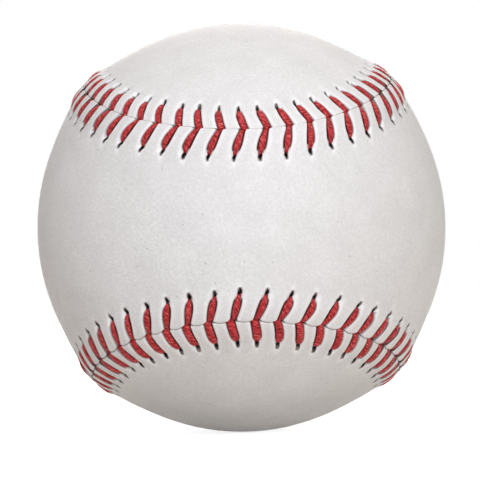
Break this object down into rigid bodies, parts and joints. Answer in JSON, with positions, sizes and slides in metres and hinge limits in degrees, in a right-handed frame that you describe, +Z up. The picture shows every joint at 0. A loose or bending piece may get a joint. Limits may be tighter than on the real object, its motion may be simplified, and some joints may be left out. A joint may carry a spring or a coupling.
{
  "type": "baseball",
  "caption": "Hand-sewn leather baseball: white two-panel cover with raised red chevron stitching over yarn windings and a cork and rubber pill.",
  "frame": {"origin": "centre of the ball", "axes": "+Z up. The narrow neck of the front cover panel faces -Y and runs along X. The neck of the back panel faces +Y and runs along Z. Y is the axis about which the two panels match after a quarter turn and a mirror."},
  "size_m": [0.0728, 0.0732, 0.0728],
  "materials": {
    "cork": "composition cork with rubber, matte",
    "black_rubber": "moulded, matte",
    "red_rubber": "moulded, matte",
    "gray_wool": "tightly wound wool yarn",
    "white_wool": "tightly wound wool yarn",
    "cotton": "fine cotton and polyester finishing yarn",
    "cover_leather": "white full-grain cowhide, smooth satin",
    "waxed_thread": "waxed red cotton thread"
  },
  "bodies": {
    "root": {"cork_center": "cork", "black_rubber_shell_top": "black_rubber", "black_rubber_shell_bottom": "black_rubber", "rubber_gasket_left": "red_rubber", "rubber_gasket_right": "red_rubber", "red_rubber_layer": "red_rubber", "gray_wool_winding": "gray_wool", "white_wool_winding": "white_wool", "finer_wool_winding": "gray_wool", "cotton_winding": "cotton", "cover_panel_front": "cover_leather", "cover_panel_back": "cover_leather", "seam_thread": "waxed_thread"}
  },
  "joints": []
}
